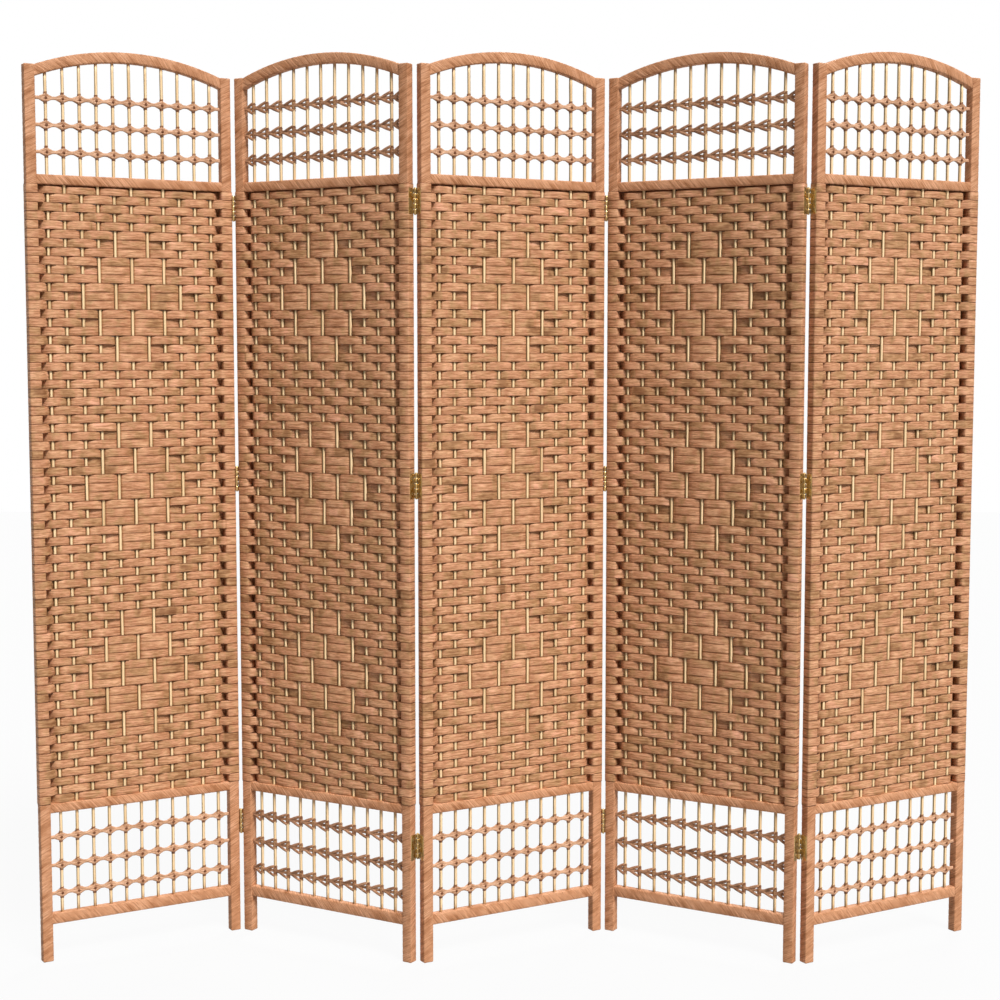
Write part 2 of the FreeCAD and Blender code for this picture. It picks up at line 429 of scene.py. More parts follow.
def peeled():
    paint = Paint("peeled_rod", roughness=0.5)
    place = paint.add("TexCoord", output="Object")
    grain = paint.streaks(place, WOOD_GRAIN, 3.0, 0.55)
    blotch = paint.streaks(place, WOOD_BLOTCH)
    colour = paint.mix(WOOD, PALE_WOOD, paint.between(grain, 0.3, 0.6))
    colour = paint.mix(colour, DULL_WOOD, paint.between(blotch, 0.52, 0.72) * 0.4)
    ring = paint.add("UVMap", {"uv_map": "ribbon"})
    from_left = paint.add("SeparateXYZ", values={0: ring}, output="Y") + blotch * 0.8
    painted_flank_shade = (paint.between(from_left, *LEFT_FLANK) * LEFT_DEPTH
              + paint.between(from_left, *RIGHT_FLANK) * RIGHT_DEPTH)
    return paint.feed(Base_Color=paint.mix(colour, SHADED_WOOD, painted_flank_shade),
                      Roughness=0.6 - grain * 0.2, Normal=paint.bump(grain, 0.3, 0.0004))


PEELED = peeled()
print("wood finish:", PEELED.name)

# %% [markdown]
# ## Brass
#
# The hinges are plain brass, a little tarnished, with fine scratches. One even colour would
# look like plastic. So soft clouds change three things together: the colour, how rough the
# surface is, and how much of a metal it still is.

# %% Hinge finish
SCRATCH = (900.0, 900.0, 60.0)
BRIGHT_BRASS, TARNISH = srgb(198, 168, 114), srgb(130, 106, 66)


def brass():
    paint = Paint("hinge_brass", roughness=0.34, metallic=1.0)
    place = paint.add("TexCoord", output="Object")
    cloud = paint.add("TexNoise", values={"Vector": place, "Scale": 90.0, "Detail": 4.0,
                                          "Roughness": 0.6})
    scratch = paint.streaks(place, SCRATCH)
    worn = paint.between(cloud, 0.42, 0.66)
    return paint.feed(Base_Color=paint.mix(BRIGHT_BRASS, TARNISH, worn * 0.8),
                      Roughness=worn * 0.25 + scratch * 0.1 + 0.18, Metallic=1 - worn * 0.35,
                      Normal=paint.bump(scratch, 0.2, 0.0003))


BRASS = brass()
print("metal finish:", BRASS.name)

# %% [markdown]
# ## Tubes
#
# A band, a rod and a cord are the same thing to Blender: a short outline carried along a
# path. A curve with a bevel can do that, but its outline can't swell, flatten or twist on the
# way. A grid of points can, with one row of points for each station on the path. The stock
# below joins the rows of many grids with quads, closes their ends, and makes one mesh of
# them.

# %% From grids of points to one mesh
CM = 10  # the ribbon map counts in centimetres
SHARP = math.radians(35)


def ribbon_mesh(name, points, faces, uv, numbers):
    """A mesh with its ribbon map and the numbers that the finishes read."""
    mesh = bpy.data.meshes.new(name)
    mesh.from_pydata(points.tolist(), [], faces)
    mesh.uv_layers.new(name="ribbon").uv.foreach_set("vector", uv.astype(np.float32).ravel())
    for key, values in numbers.items():
        mesh.attributes.new(key, "FLOAT", "POINT").data.foreach_set(
            "value", values.astype(np.float32))
    return mesh


def finished(mesh, material, slot, n, *stands_for):
    """Smooths a mesh, places it on its panel, ties it to the panel's body, and hides the nodes it
    stands for.
    """
    mesh.polygons.foreach_set("use_smooth", [True] * len(mesh.polygons))
    if material is BRASS:
        mesh.set_sharp_from_angle(angle=SHARP)
    mesh.materials.append(material)
    mesh.validate()
    piece = bpy.data.objects.new(mesh.name, mesh)
    scene.collection.objects.link(piece)
    piece.matrix_world = AXES[n]
    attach(piece, f"panel_{n}")
    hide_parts(*stands_for)
    return piece


def together(*parts):
    """Numbers put side by side, after they have been spread to the same shape."""
    return np.stack(np.broadcast_arrays(*parts), -1)


def round_angles(count):
    return np.arange(count) * (2 * math.pi / count)


def corners(here, beside):
    return np.stack([here[:-1], beside[:-1], beside[1:], here[1:]], 2)


class Stock:
    def __init__(self):
        self.points, self.quads, self.caps, self.uvs, self.cap_uvs = [], [], [], [], []
        self.numbers = {"tone": [], "hollow": []}
        self.count = 0

    def tube(self, grid, along, across, tone=0.5, hollow=0.0):
        """grid: stations x outline x 3, closed round the outline and capped at both ends."""
        n, m = grid.shape[:2]
        index = self.count + np.arange(n * m).reshape(n, m)
        uv = together(along[:, None], across)
        self.quads.append(corners(index, np.roll(index, -1, 1)).reshape(-1, 4))
        self.uvs.append(corners(uv, np.roll(uv, -1, 1)).reshape(-1, 2))
        self.caps += [index[0][::-1].tolist(), index[-1].tolist()]
        self.cap_uvs += [uv[0][::-1], uv[-1]]
        for key, value in (("tone", np.reshape(tone, (-1, 1))), ("hollow", hollow)):
            self.numbers[key].append(np.broadcast_to(value, (n, m)).ravel())
        self.points.append(grid.reshape(-1, 3))
        self.count += n * m

    def piece(self, name, material, slot, n, *stands_for):
        points = np.concatenate(self.points) * MM
        quads = np.concatenate(self.quads)
        mesh = ribbon_mesh(name, points, quads.tolist() + self.caps,
                           np.concatenate(self.uvs + self.cap_uvs),
                           {key: np.concatenate(values) for key, values in self.numbers.items()})
        a, b, c, d = points[quads.T]
        if np.einsum("ij,ij->i", a, np.cross(b, c) + np.cross(c, d)).sum() < 0:
            mesh.flip_normals()
        return finished(mesh, material, slot, n, *stands_for)


print("a new stock has", Stock().count, "points")

# %% [markdown]
# ## Sticks wound with ribbon
#
# Every stick of the frame is wound with ribbon, so its surface is a row of slanting bands.
# Winding one long band would leave overlaps and loose ends all along. One closed surface looks
# the same: a tube whose rings slant like the bands, with a groove where two bands meet. The
# slant has to close on itself after one turn, so the bands are laid like a screw thread with a
# whole number of starts.

# %% The stick's section and the band's
CORNER_TURNS = (0, 45, 90)
BAND = np.array([-0.32, -0.08, 0.04, -0.08, 0.05, -0.08, 0.02, -0.14])
UNEVEN = 0.05  # how much the depth of a strand varies


def eased_rectangle(wide, deep, ease):
    """Points, outward directions and lengths round a rectangle with eased corners."""
    points, normals = [], []
    a, b = wide / 2 - ease, deep / 2 - ease
    signs = ((1, -1), (1, 1), (-1, 1), (-1, -1))
    for corner, (sx, sy) in enumerate(signs):
        for turn in CORNER_TURNS:
            angle = math.radians(-90 + 90 * corner + turn)
            normal = (math.cos(angle), math.sin(angle))
            points.append((sx * a + ease * normal[0], sy * b + ease * normal[1]))
            normals.append(normal)
        end, (nx, ny) = points[-1], signs[(corner + 1) % 4]
        start = (nx * a + ease * normal[0], ny * b + ease * normal[1])
        points.append(tuple(end[k] + (start[k] - end[k]) * 0.5 for k in (0, 1)))
        normals.append(normal)
    points, normals = np.array(points), np.array(normals)
    steps = np.linalg.norm(np.roll(points, -1, 0) - points, axis=1)
    return points, normals, np.concatenate([[0], np.cumsum(steps)])


print("a section has", len(eased_rectangle(20, 18, 2)[0]), "points")

# %% Cutting off the winding
X, Z = 0, 2
FLAT_END, ROUND_END = ((0.0, 0.0),), ((0.7, 0.5), (0.6, 1.1))  # steps outward and inward
ON_PLANE = 1e-6


def stepped_in(shape, painted_groove_shade, normal, up, shrink):
    """Grows a rim outward and draws it in, and gives the new rim."""
    grown = bmesh.ops.extrude_edge_only(shape, edges=painted_groove_shade)["geom"]
    verts = [part for part in grown if isinstance(part, bmesh.types.BMVert)]
    heart = sum((v.co for v in verts), Vector()) / len(verts)
    for v in verts:
        v.co += normal * up * MM
        off = v.co - heart
        off -= normal * off.dot(normal)
        v.co -= off.normalized() * shrink * MM
    return [part for part in grown if isinstance(part, bmesh.types.BMEdge)]


def cut_ends(mesh, axis, ends, end_steps):
    """Cuts a mesh off at both ends, steps it inward there and closes it."""
    shape = bmesh.new()
    shape.from_mesh(mesh)
    for way, end in zip((-1, 1), ends):
        normal, where = Vector(np.eye(3)[axis] * way), Vector(np.eye(3)[axis] * end) * MM
        bmesh.ops.bisect_plane(shape, geom=shape.verts[:] + shape.edges[:] + shape.faces[:],
                               plane_co=where, plane_no=normal, clear_outer=True)
        painted_groove_shade = [edge for edge in shape.edges if edge.is_boundary
               and all(abs((v.co - where).dot(normal)) < ON_PLANE for v in edge.verts)]
        for up, shrink in end_steps:
            painted_groove_shade = stepped_in(shape, painted_groove_shade, normal, up, shrink)
        bmesh.ops.holes_fill(shape, edges=painted_groove_shade, sides=0)
    bmesh.ops.recalc_face_normals(shape, faces=shape.faces[:])
    loose = [v for v in shape.verts if not v.link_faces]
    bmesh.ops.delete(shape, geom=loose, context="VERTS")
    shape.to_mesh(mesh)
    shape.free()


print("a rounded end takes", len(ROUND_END), "steps")


# %% A wound stick along any path
def wound(node, n, path, length, section, winding, cut, rng):
    """path(t) gives the points at length t and the two directions across the stick."""
    pitch, starts, hand = winding
    outline, normals, reach = eased_rectangle(*section)
    around, per_band = len(outline), len(BAND)
    lean, step = hand * starts * pitch / reach[-1], pitch / per_band
    spare = starts * per_band + 2
    rows = np.arange(-spare, int(length / step) + spare + 1)
    depth = BAND[rows % per_band] + rng.normal(0, UNEVEN, len(rows))
    centre, out, side = path(rows[:, None] * step + lean * reach[None, :-1])
    a = outline[:, 0] + normals[:, 0] * depth[:, None]
    b = outline[:, 1] + normals[:, 1] * depth[:, None]
    points = centre + out * a[..., None] + side * b[..., None]
    index = np.arange(len(rows) * around).reshape(len(rows), around)
    low, shift = np.arange(len(rows) - 1), hand * starts * per_band
    closing = low[(low + shift >= 0) & (low + shift < len(rows) - 1)]
    quads, uvs = [], []
    for j in range(around):
        keep, lag = (low, 0) if j + 1 < around else (closing, shift)
        k = (j + 1) % around
        quads.append(together(index[keep, j], index[keep + lag, k],
                              index[keep + lag + 1, k], index[keep + 1, j]))
        u0, u1 = reach[j] / CM, reach[j + 1] / CM
        v0, v1 = rows[keep] / per_band, (rows[keep] + 1) / per_band
        uvs.append(np.stack([together(u, v)
                             for u, v in ((u0, v0), (u1, v0), (u1, v1), (u0, v1))], 1))
    tones = rng.random(len(rows) // per_band + 2)[(rows + spare) // per_band]
    mesh = ribbon_mesh(f"{node}_wound", points.reshape(-1, 3) * MM,
                       np.concatenate(quads).tolist(), np.concatenate(uvs),
                       {"tone": np.repeat(tones, around)})
    cut_ends(mesh, *cut)
    return finished(mesh, WOUND, "wrapped_stick", n, node)


def straight(*vectors):
    """A straight path, from its start, its own direction and two across it."""
    origin, along, out, side = (np.array(v, float) for v in vectors)
    return lambda t: (origin + t[..., None] * along, out, side)


print("a band is", len(BAND), "strands wide")

# %% [markdown]
# ## Stiles
#
# The stiles are a panel's two uprights and its legs, wound the same way round from the floor
# to the top. One could be made and copied nine times, but then every uneven strand would come
# back ten times. So each has its own random draws. Both ends are rounded over a little,
# because the ribbon is tucked in there.

# %% Stiles
STILE_EASE, STILE_WINDING = 1.6, (12.0, 3, 1)  # pitch, number of starts, hand
CUT_SHORT = 1.3  # what the rounded end puts back

for n in PANELS:
    for offset, label in ((-1, "left"), (1, "right")):
        node = f"panel_{n}_{label}_stile"
        low, high = extent(node, n)
        x = (low[0] + high[0]) / 2
        wound(node, n, straight((x, 0, 0), (0, 0, 1), (1, 0, 0), (0, 1, 0)), high[2],
              (*(high - low)[:2], STILE_EASE), STILE_WINDING,
              (Z, (CUT_SHORT, high[2] - CUT_SHORT), ROUND_END), draws(n, offset))
print("ten stiles wound, each", round(high[2]), "mm high")

# %% [markdown]
# ## Rails
#
# Three straight rails cross a panel, wound with wider bands that lean more. A rail could end
# flush against the stile, but then a slit would show. So each one runs on a little way into
# the stile's winding.

# %% Rails
INTO_STILE = 4
RAIL_EASE = 2.5
RAIL_WINDINGS = {"upper": (14.0, 4, -1), "lower": (14.0, 4, -1), "bottom": (14.5, 4, -1)}

for n in PANELS:
    for label, winding in RAIL_WINDINGS.items():
        node = f"panel_{n}_{label}_rail"
        low, high = extent(node, n)
        z, end = (low[2] + high[2]) / 2, STILE_INNER + INTO_STILE
        wound(node, n, straight((-end, 0, z), (1, 0, 0), (0, 0, 1), (0, 1, 0)), 2 * end,
              (high[2] - low[2], high[1] - low[1], RAIL_EASE), winding,
              (X, (-end, end), FLAT_END), draws(n, len(label)))
print("fifteen rails wound, each", round(2 * end), "mm long")

# %% [markdown]
# ## Arches
#
# The top rail is one stick, bent to a flat arch. Bending a straight mesh with a modifier
# would stretch its bands unevenly. The winding takes any path, so it gets an arc, whose
# radius follows from how far the arch rises over its span.

# %% Arches
NEAR_END, NEAR_MIDDLE = 0.5, 60
DROP = 3.5  # how far the arch has come down that near its middle
ARCH_OVER, ARCH_CUT = 4, 3  # how far its winding runs on at an end, and where it is cut
ARCH_WINDING = (14.0, 4, -1)


def arc_path(centre_z, radius, length):
    def place(t):
        angle = (t - length / 2) / radius
        out = together(np.sin(angle), 0, np.cos(angle))
        return out * radius + np.array((0, 0, centre_z)), out, np.array((0, 1.0, 0))
    return place


for n in PANELS:
    node = f"panel_{n}_arch_rail"
    arch = points_of(node, n)
    half, top = arch[:, 0].max(), arch[:, 2].max()
    spring = arch[np.abs(arch[:, 0]) > half - NEAR_END][:, 2].max()
    ARCH_RADIUS = (half ** 2 + (top - spring) ** 2) / (2 * (top - spring))
    ARCH_BAR = top - arch[np.abs(arch[:, 0]) < NEAR_MIDDLE][:, 2].min() - DROP
    ARCH_CENTRE = top - ARCH_RADIUS
    middle_radius = ARCH_RADIUS - ARCH_BAR / 2
    sweep = 2 * middle_radius * math.asin((half + ARCH_OVER) / middle_radius)
    end = half + ARCH_CUT
    wound(node, n, arc_path(ARCH_CENTRE, middle_radius, sweep), sweep,
          (ARCH_BAR, np.ptp(arch[:, 1]), RAIL_EASE), ARCH_WINDING,
          (X, (-end, end), FLAT_END), draws(n, 9))
print(f"five arches of radius {ARCH_RADIUS:.1f}")

# %% [markdown]
# ## Rods
#
# The rods are not quite straight, with a faint swelling here and there where a twig was cut
# off. A plain cylinder is too perfect, and sculpting 55 of them is too much work. So a tube's
# middle wanders on slow sine waves, with a few swellings at random heights.

# %% Peeled rods
STATIONS, SIDES, KNOBS = 90, 14, 4
WAVES = ((0.35, 97), (0.2, 31), (0.15, 83), (0.03, 41))  # reach and length: x, x, y, radius
SWELLING, SWELLING_LENGTH = 0.09, 7
PAST_FOOT, PAST_TOP = 3, 2  # how far a rod runs on into the rail and the arch
ring_angles = round_angles(SIDES)


def rod_top(x):
    return ARCH_CENTRE + math.sqrt((ARCH_RADIUS - ARCH_BAR) ** 2 - x * x) + PAST_TOP


def rod(x, rng):
    z = np.linspace(ROD_FOOT - PAST_FOOT, rod_top(x), STATIONS)
    waves = [reach * np.sin(z / length + start)
             for (reach, length), start in zip(WAVES, rng.uniform(0, 6.28, len(WAVES)))]
    thick = 1 + waves[3]
    for knob in rng.uniform(z[0], z[-1], KNOBS):
        thick = thick + SWELLING * np.exp(-((z - knob) / SWELLING_LENGTH) ** 2)
    radius = (ROD_RADIUS * thick)[:, None]
    return together(x + (waves[0] + waves[1])[:, None] + radius * np.cos(ring_angles),
                    waves[2][:, None] + radius * np.sin(ring_angles), z[:, None]), z


for n in PANELS:
    rng = draws(n, 20)
    from_left = np.abs((ring_angles + turn_of(n)) % (2 * math.pi) - math.pi)
    stock = Stock()
    for x in ROD_X:
        grid, z = rod(x, rng)
        stock.tube(grid, z / CM, from_left, rng.random())
    stock.piece(f"panel_{n}_rods_peeled", PEELED, "peeled_rod", n, f"panel_{n}_rods")
print(len(ROD_X), "rods in each panel")

# %% [markdown]
# ## The order of the weave
#
# One ribbon passes in front of one rod and behind the next, goes round the stile, and comes
# back as the next row with fronts and backs changed. In three places several rows agree for a
# while, which draws a diamond of blocks. An image could hold that pattern, but a weaver's own
# way is shorter: plain weave everywhere, and then which rods each step of the diamond hides
# and shows.

# %% Which rods each row hides
BLOCK_ROWS = 3
DIAMOND_TOPS = (6, 28, 50)
HIDDEN = ((6,), (5, 7), (4, 6, 8), (5, 7), (6,))
SHOWN = ((5, 7), (4, 6, 8), (3, 5, 7, 9), (4, 6, 8), (5, 7))

row_numbers, rod_numbers = np.arange(1, ROWS + 1)[:, None], np.arange(1, len(ROD_X) + 1)
weave = np.where((rod_numbers + row_numbers) % 2, -1, 1)
for top_row in DIAMOND_TOPS:
    for block, (hidden, shown) in enumerate(zip(HIDDEN, SHOWN)):
        first = top_row - 1 + BLOCK_ROWS * block
        for rods, way in ((hidden, 1), (shown, -1)):
            for number in rods:
                weave[first:first + BLOCK_ROWS, number - 1] = way
print("in front of a rod in", int((weave > 0).sum()), "of", weave.size, "crossings")

# %% [markdown]
# ## The ribbon's path
#
# Seen from above, the ribbon doesn't swing like a sine wave. It lies flat in front of a rod
# until it is close to the next one, and then dives behind it. Where it passes two rods on the
# same side it sags between them, and at both ends it goes round the stile. A curve through
# the rods would round all that off, so the path is written down as short tables of steps.

# %% The path of one row
SWING = 4.7  # how far in front of or behind a rod's middle the ribbon lies
PROUD = 0.3  # how far it stands off the stile
FACE = STILE_FACE + PROUD
BEND, SHADED = 1.3, 1.5  # the ribbon's bend at a stile's corner, and the dark strip after it
DIVE = np.array([(0, -4.7), (.3, -4.3), (.55, -3.0), (.79, -1.6), (.87, 1.7), (.94, 3.9)])
EVEN_STEPS = np.array([0, .17, .33, .5, .67, .83])
FLOAT_SAG = -3.2
SWING_SPREAD, HANG, HANG_LENGTH = (0.95, 1.06), 0.22, (40, 90)
posts = np.concatenate([[-STILE_INNER], ROD_X, [STILE_INNER]])


def loop_round_stile(side, front):
    """Points round a stile, from the field outward and round to its inner face."""
    near, far = STILE_INNER - PROUD, STILE_OUTER + PROUD
    path = np.array([(near + 3, -FACE), (far - BEND, -FACE), (far, -FACE + BEND),
                     (far, -FACE + BEND + SHADED), (far, FACE - BEND - SHADED),
                     (far, FACE - BEND), (far - BEND, FACE), (near + BEND, FACE),
                     (near, FACE - BEND), (near, -FACE + BEND + 1)])
    return together(side * path[:, 0], path[:, 1] * (1 if front else -1), 0)


def line_of_row(depths, sides):
    """x and y from stile to stile."""
    x, y = [], []
    for k in range(len(posts) - 1):
        a, b, y0, y1 = posts[k], posts[k + 1], depths[k], depths[k + 1]
        steps, share = EVEN_STEPS, 0.5 - 0.5 * np.cos(EVEN_STEPS * math.pi)
        sag = np.sin(steps * math.pi) * (FLOAT_SAG if sides[k] == sides[k + 1] else 0)
        if sides[k] != sides[k + 1] and 0 < k < len(posts) - 2:
            steps, share, sag = DIVE[:, 0], (DIVE[:, 1] + SWING) / (2 * SWING), 0
            if sides[k] < 0:
                steps, share = (np.concatenate([[0], 1 - part[:0:-1]]) for part in (steps, share))
        x.append(a + (b - a) * steps)
        y.append(y0 + (y1 - y0) * share - sag * sides[k])
    return np.append(np.concatenate(x), posts[-1]), np.append(np.concatenate(y), depths[-1])


def path_of_row(row, rng):
    """The row's path with both loops, and which of its points lie on a stile."""
    front = row % 2 == 1
    edge, end = (-FACE, 1) if front else (FACE, -1)
    swing = SWING * rng.uniform(*SWING_SPREAD, len(ROD_X))
    u, y = line_of_row(np.concatenate([[edge], -weave[row] * swing, [edge]]),
                       np.concatenate([[end], weave[row], [end]]))
    hang = HANG * np.sin(u / rng.uniform(*HANG_LENGTH) + rng.uniform(0, 6))
    left, right = loop_round_stile(-1, front)[::-1], loop_round_stile(1, front)
    path = np.concatenate([left, together(u, y, hang), right])
    on_stile = np.concatenate([np.ones(len(left)), np.zeros(len(u)), np.ones(len(right))])
    return path, on_stile


def lengths_along(path):
    return np.concatenate([[0], np.cumsum(np.linalg.norm(np.diff(path, axis=0), axis=1))])


print("a row is", round(lengths_along(path_of_row(0, draws(0, 0))[0])[-1]), "mm long")

# %% [markdown]
# ## The ribbon's section
#
# A ribbon in front of a rod, while the one above lies behind, swells up to fill the room. One
# that dives under the row above is squeezed, and a hollow, darkened with painted shade, shows
# beside the rod. Rows stand taller behind the rods, so that little daylight shows between them.
# One fixed outline can't do that. So the section is a table of fourteen points, which also says
# how a hollow tucks each point in, whether it pulls it down, and how much painted shade it gets
# there.

# %% The section and how it changes along a row
SECTION = np.array([
    # height, thickness, tuck, pulled down, painted shade
    (1, 0, .95, 0, 1), (.95, .7, 1.4, 1, 1), (.77, 1, 1.5, 1, .8), (.57, 1, 0, 1, 0),
    (.3, .88, 0, 0, 0), (0, 1.04, 0, 0, 0), (-.35, .9, 0, 0, 0), (-.7, 1, 0, 0, 0),
    (-.94, .72, 0, 0, 0), (-1, 0, 0, 0, 0), (-.8, -.9, 0, 0, 0), (-.3, -1.1, 0, 0, 0),
    (.3, -1.1, 0, 0, 0), (.8, -.9, .1, 0, 0)])
HEIGHT, THICKNESS, TUCK, PULLED, PAINTED_SHADE_SHARE = SECTION.T
HALF_ROW = ROW / 2 + 0.3
OVER_RODS, ROUND_STILES = 1.55, 0.5  # half the ribbon's thickness
BACK_RISE, BACK_DROP = 0.9, 2.5  # how much taller and deeper a row is behind the rods
PAINTED_ROD_SHADE, SHADE_REACH = 0.85, 5.6  # painted shade: the dark line beside a rod, and how far it reaches
CURL, CURL_LIMIT = -0.14, 6
BULGE, HOLLOW = (0.1, 0.6), (0.95, 1.2)  # drawn between these for each rod; a hollow's number also sets its painted shade
TOP_HOLLOW, TOP_EXTRA = 1.45, 0.4  # of the first row, under the rail: a hollow that is tucked in and holds painted shadow, and extra height
PLUMP_AT, PLUMP_WIDTH = 4, 5  # a row is thicker this far from a stile
DEEPEST, BEHIND_LIMIT = 9, 1.6
TONE_CHANGES, OWN_TONE = 34, 0.25


def near_rods(x, amounts, reach):
    """A number that is `amount` at each rod and falls to nothing at `reach` from it."""
    total = np.zeros_like(x)
    for place, amount in zip(ROD_X, amounts):
        total = np.maximum(total, amount * np.clip(1 - np.abs(x - place) / reach, 0, 1))
    return total


def swell_of_row(row, x, y, on_stile, hollow_reach, rng):
    """Heights above and below the path, and the hollows under the row above, which also get
    painted shade.
    """
    sides = weave[row]
    above = weave[row - 1] if row else 0 * sides + 1
    dives = above > sides if row else sides < 2
    bulge = near_rods(x, (sides > above) * rng.uniform(*BULGE, len(ROD_X)), ROD_GAP / 2)
    hollow = near_rods(x, dives * rng.uniform(*HOLLOW, len(ROD_X)), hollow_reach)
    hollow = np.maximum(hollow, TOP_HOLLOW * (row == 0)) * (1 - on_stile)
    plump = np.exp(-((np.abs(x) - STILE_INNER + PLUMP_AT) / PLUMP_WIDTH) ** 2) * (1 - on_stile)
    behind = np.clip(0.5 + y / DEEPEST, 0, BEHIND_LIMIT) * (1 - on_stile)
    top = HALF_ROW + bulge + plump + BACK_RISE * behind + TOP_EXTRA * (row == 0)
    return top, HALF_ROW + plump + BACK_DROP * behind, hollow


def tone_of_row(along, rng):
    """Each row has its own tone, and changes it at many places."""
    own = rng.random()
    places = np.sort(rng.uniform(0, along[-1], TONE_CHANGES))
    tones = rng.random(TONE_CHANGES + 1) * (1 - OWN_TONE) + OWN_TONE * own
    return tones[np.searchsorted(places, along)]


print("a section of", len(SECTION), "points")


# %% Weaving
HOLLOW_REACH = (14.0, 16.5)  # how far a hollow and its painted shade reach from a rod, on panels 2 and 4, and on the others
THINNER_FROM = 9  # how far from a stile the ribbon starts to flatten
LEAST_PULL = 0.25


def weave_row(stock, row, hollow_reach, rng):
    path, on_stile = path_of_row(row, rng)
    x, y, z = path.T
    top, bottom, hollow = (part[:, None] for part in
                           swell_of_row(row, x, y, on_stile, hollow_reach, rng))
    near_stile = np.clip((np.abs(x) - (STILE_INNER - THINNER_FROM)) / THINNER_FROM, 0, 1)
    thick = OVER_RODS - (OVER_RODS - ROUND_STILES) * np.maximum(on_stile, near_stile)
    way = np.gradient(path[:, :2], axis=0)
    way /= np.linalg.norm(way, axis=1)[:, None]
    pull = LEAST_PULL + (1 - LEAST_PULL) * hollow
    c = np.where(PULLED, 1 - (1 - HEIGHT) * pull, HEIGHT + 0 * hollow)
    height = np.where(c > 0, top * c, bottom * c)
    off = thick[:, None] * (THICKNESS - np.minimum(hollow, 1) * TUCK)
    curl = (1 - on_stile[:, None]) * (CURL * c ** 4) * y[:, None]
    curl = curl * (np.abs(y) < CURL_LIMIT)[:, None]
    grid = together(x[:, None] + way[:, 1:] * off, y[:, None] + curl - way[:, :1] * off,
                    WEAVE_TOP - (row + 0.5) * ROW + z[:, None] + height)
    along = lengths_along(path)
    tone = tone_of_row(along, rng)
    # painted shade beside each rod, on the face of the ribbon that lies against it
    rod_shade_mask = [np.clip(2.4 * near_rods(x, 1.0 * (weave[row] == side), SHADE_REACH), 0, 1)
              for side in (-1, 1)]
    shade = PAINTED_ROD_SHADE * np.where(THICKNESS > 0, rod_shade_mask[0][:, None], rod_shade_mask[1][:, None])
    # the last number is painted shade, in hollows and beside rods
    stock.tube(grid, along / CM + 60 * row, c / 2 + 0.5 + 2 * row, tone,
               np.clip(np.maximum(hollow * PAINTED_SHADE_SHARE, shade), 0, 1))


for n in PANELS:
    rng, stock = draws(n, 30), Stock()
    for row in range(ROWS):
        weave_row(stock, row, HOLLOW_REACH[n % 2], rng)
    stock.piece(f"panel_{n}_weave", WOVEN, "woven_strand", n, f"panel_{n}_woven_strands")
print("five woven fields of", ROWS, "rows")

# %% [markdown]
# ## Knotted cords
#
# Above and below the weave each rod is tied to its neighbours with a cord that splits into
# strands. On panels 1, 3 and 5 these lie close together on both sides of the rods, and make a
# smooth lens on each one. On panels 2 and 4 they start together and spread in three prongs,
# with daylight between them. A flat ribbon with holes would look cut from paper, so each strand
# is a flattened tube from one rod to the next. Each kind of knot is one function, which gives a
# strand's level, height, depth and width.

# %% Strands, coils and turned shapes
def ribbon_tube(path, tall, thick, points=8):
    """A flattened tube along a path of x, y, z, and the angles round it."""
    way = np.gradient(path, axis=0)
    way /= np.linalg.norm(way, axis=1)[:, None]
    side = np.cross(way, (0, 1.0, 0))
    side /= np.linalg.norm(side, axis=1)[:, None]
    face = np.cross(side, way)
    angle = round_angles(points)
    return (path[:, None] + side[:, None] * (np.cos(angle) * tall[:, None])[..., None]
            + face[:, None] * (np.sin(angle) * thick)[..., None]), angle


def coil(x, z_low, z_high, radius, wire, turns):
    """A cord wound round a rod, how far it has turned, and the angles round it."""
    t = np.linspace(0, 1, turns * 10 + 1)
    spin = t * turns * 2 * math.pi
    out = together(np.cos(spin), np.sin(spin), 0)
    path = together(x, 0, z_low + (z_high - z_low) * t) + radius * out
    angle = round_angles(6)
    return (path[:, None] + out[:, None] * (np.cos(angle) * wire)[:, None]
            + np.array((0, 0, 1.0)) * (np.sin(angle) * wire * 1.2)[:, None]), spin, angle


def turned(profile, centre, way, points=20):
    """A lathe shape: pairs of (distance along way, radius) about an axis."""
    way = np.array(way, float)
    first = np.cross(way, (0.0, 0.0, 1.0) if abs(way[2]) < 0.9 else (1.0, 0.0, 0.0))
    second = np.cross(way, first)
    angle = round_angles(points)
    ring = np.cos(angle)[:, None] * first + np.sin(angle)[:, None] * second
    profile = np.array(profile)
    grid = np.array(centre) + profile[:, :1, None] * way + profile[:, 1:, None] * ring
    return grid, profile[:, 0], angle / 6.3


print("three turns of cord take", len(coil(0, 0, 1, 3, 1, 3)[0]), "stations")

# %% The two kinds of knot
BETWEEN = np.array([0, .08, .17, .27, .38, .5, .62, .73, .83, .92, 1])
STRAND_DEPTH = 1.25
LENS_REACH, LENS_POWER = 12.5, 1.15  # how far from a rod the strands fan out
FORK_FROM, FORK_OVER, FORK_POWER = 0.34, 0.66, 0.9
LENS_WRAPS = ((7.4, 10.8, 3, 0.55), (-10.4, -8.0, 2, 0.25))  # from, to, turns, tone; the lower wrap's dark tone is painted shadow under the lens
PRONG_WRAPS = ((-9.9, 9.9, 8, 0.5),)
# a dark dot of painted shade below the lens's middle, standing for a shaded gap between its
# strands
SHADOW_DOT = ((-1.2, 0.8), (-0.8, 2.0), (0, 2.6), (0.8, 2.0), (1.2, 0.8))
SHADOW_DOT_Y, SHADOW_DOT_DROP = -4.8, 0.2
cord_ends = [-STILE_INNER - 2] + ROD_X + [STILE_INNER + 2]


